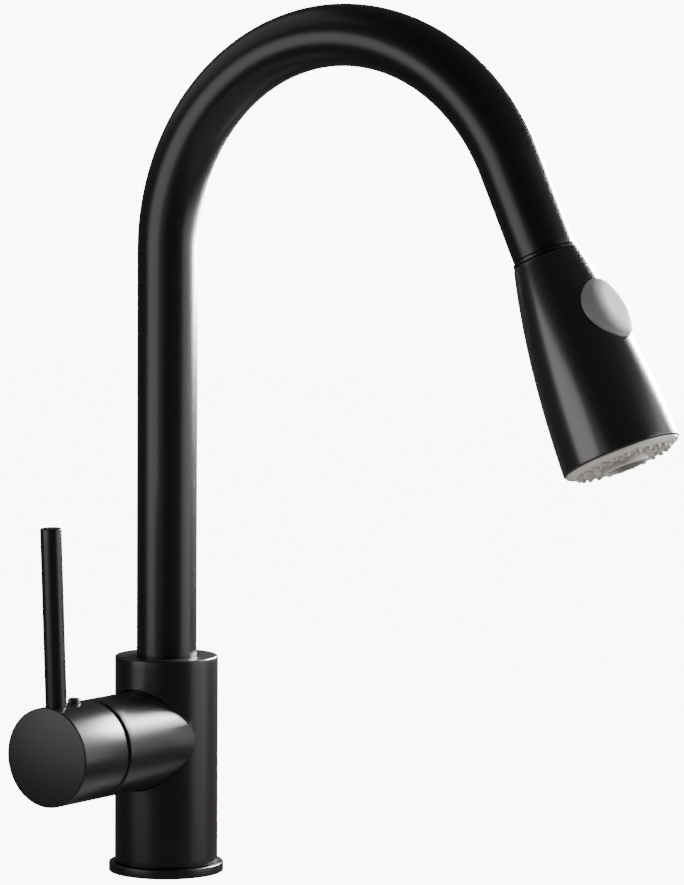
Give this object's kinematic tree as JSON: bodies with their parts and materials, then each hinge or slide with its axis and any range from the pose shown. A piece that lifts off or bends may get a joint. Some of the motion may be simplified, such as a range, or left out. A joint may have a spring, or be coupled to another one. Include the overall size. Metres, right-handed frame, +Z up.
{
  "type": "pull down kitchen faucet",
  "caption": "Single lever gooseneck kitchen faucet in satin black with a swivelling spout, side pin lever and pull-down spray head.",
  "frame": {"origin": "centre of the base flange's underside, on the column's axis, in the plane of the deck", "axes": "+Z up along the column; the spout reaches toward -Y, the mixer arm and lever toward -X"},
  "size_m": [0.1171, 0.2981, 0.4031],
  "materials": {
    "satin_black": "satin black coating over brass or steel",
    "matte_black": "matte black plastic",
    "button_grey": "matte grey plastic",
    "face_grey": "translucent grey soft plastic",
    "brass": "machined brass",
    "steel": "stainless steel",
    "white_plastic": "moulded white plastic",
    "black_rubber": "black rubber",
    "ceramic": "polished alumina ceramic",
    "hose_braid": "dark braided hose cover"
  },
  "bodies": {
    "body": {"base_flange": "satin_black", "base_gasket": "black_rubber", "valve_body": "satin_black", "hose_guide_sleeve": "white_plastic", "cartridge_seal_hot": "black_rubber", "cartridge_seal_cold": "black_rubber", "cartridge_seal_outlet": "black_rubber", "cartridge_base": "white_plastic", "fixed_ceramic_disc": "ceramic", "cartridge_housing": "white_plastic", "cartridge_nut": "brass", "bonnet_dome": "satin_black", "spout_retaining_screw": "steel"},
    "mixer_carrier": {"lever_carrier": "white_plastic", "pivot_pin": "steel"},
    "moving_disc": {"moving_ceramic_disc": "ceramic", "disc_driver": "white_plastic"},
    "handle": {"handle_hub": "satin_black", "handle_lever": "satin_black", "hub_set_screw": "steel", "index_plug": "matte_black", "cartridge_stem": "steel"},
    "spout": {"spout_tube": "satin_black", "spout_adapter": "brass", "spout_glide_ring": "white_plastic", "spout_seal_lower": "black_rubber", "spout_seal_upper": "black_rubber", "spout_end_bushing": "matte_black", "pull_hose_run": "hose_braid"},
    "hose_lead": {"pull_hose_lead": "hose_braid", "hose_ferrule": "steel", "hose_tailpiece": "brass"},
    "spray_head": {"head_shell": "satin_black", "head_core": "white_plastic", "dock_neck": "matte_black", "hose_cone_nut": "brass", "hose_washer": "black_rubber", "check_valve_body": "white_plastic", "check_valve_poppet": "white_plastic", "nozzle_plate": "white_plastic", "spray_face": "face_grey", "aerator_housing": "face_grey", "aerator_screen": "steel", "aerator_seal": "black_rubber", "button_spring": "steel"},
    "diverter_button": {"spray_button": "button_grey", "diverter_spool": "brass"}
  },
  "joints": [
    {"name": "spout_swivel", "type": "hinge", "parent": "body", "child": "spout", "pos_m": [0, 0, 0.09], "axis": [0, 0, 1], "continuous": true},
    {"name": "head_pull", "type": "slide", "parent": "spout", "child": "hose_lead", "axis": [0, -0.4249, -0.9052], "range_m": [0, 0.45], "stiffness_N_per_m": 8, "springref_m": -0.6},
    {"name": "head_spin", "type": "hinge", "parent": "hose_lead", "child": "spray_head", "pos_m": [0, -0.20687, 0.2936], "axis": [0, -0.4249, -0.9052], "continuous": true},
    {"name": "button_press", "type": "slide", "parent": "spray_head", "child": "diverter_button", "axis": [0, 0.9052, -0.4249], "range_m": [0, 0.0025], "stiffness_N_per_m": 400, "springref_m": -0.004, "deforming": ["button_spring"]},
    {"name": "handle_temperature", "type": "hinge", "parent": "body", "child": "mixer_carrier", "pos_m": [-0.0396, 0, 0.06386], "axis": [-1, 0, 0], "range_deg": [-50, 50]},
    {"name": "handle_flow", "type": "hinge", "parent": "mixer_carrier", "child": "handle", "pos_m": [-0.0396, 0, 0.06386], "axis": [0, -1, 0], "range_deg": [0, 25]},
    {"name": "disc_slide", "type": "slide", "parent": "mixer_carrier", "child": "moving_disc", "axis": [0, 0, 1], "range_m": [0, 0.0037]}
  ],
  "couplings": [
    {"joint": "disc_slide", "follows": "handle_flow", "m_per_rad": 0.0079}
  ]
}
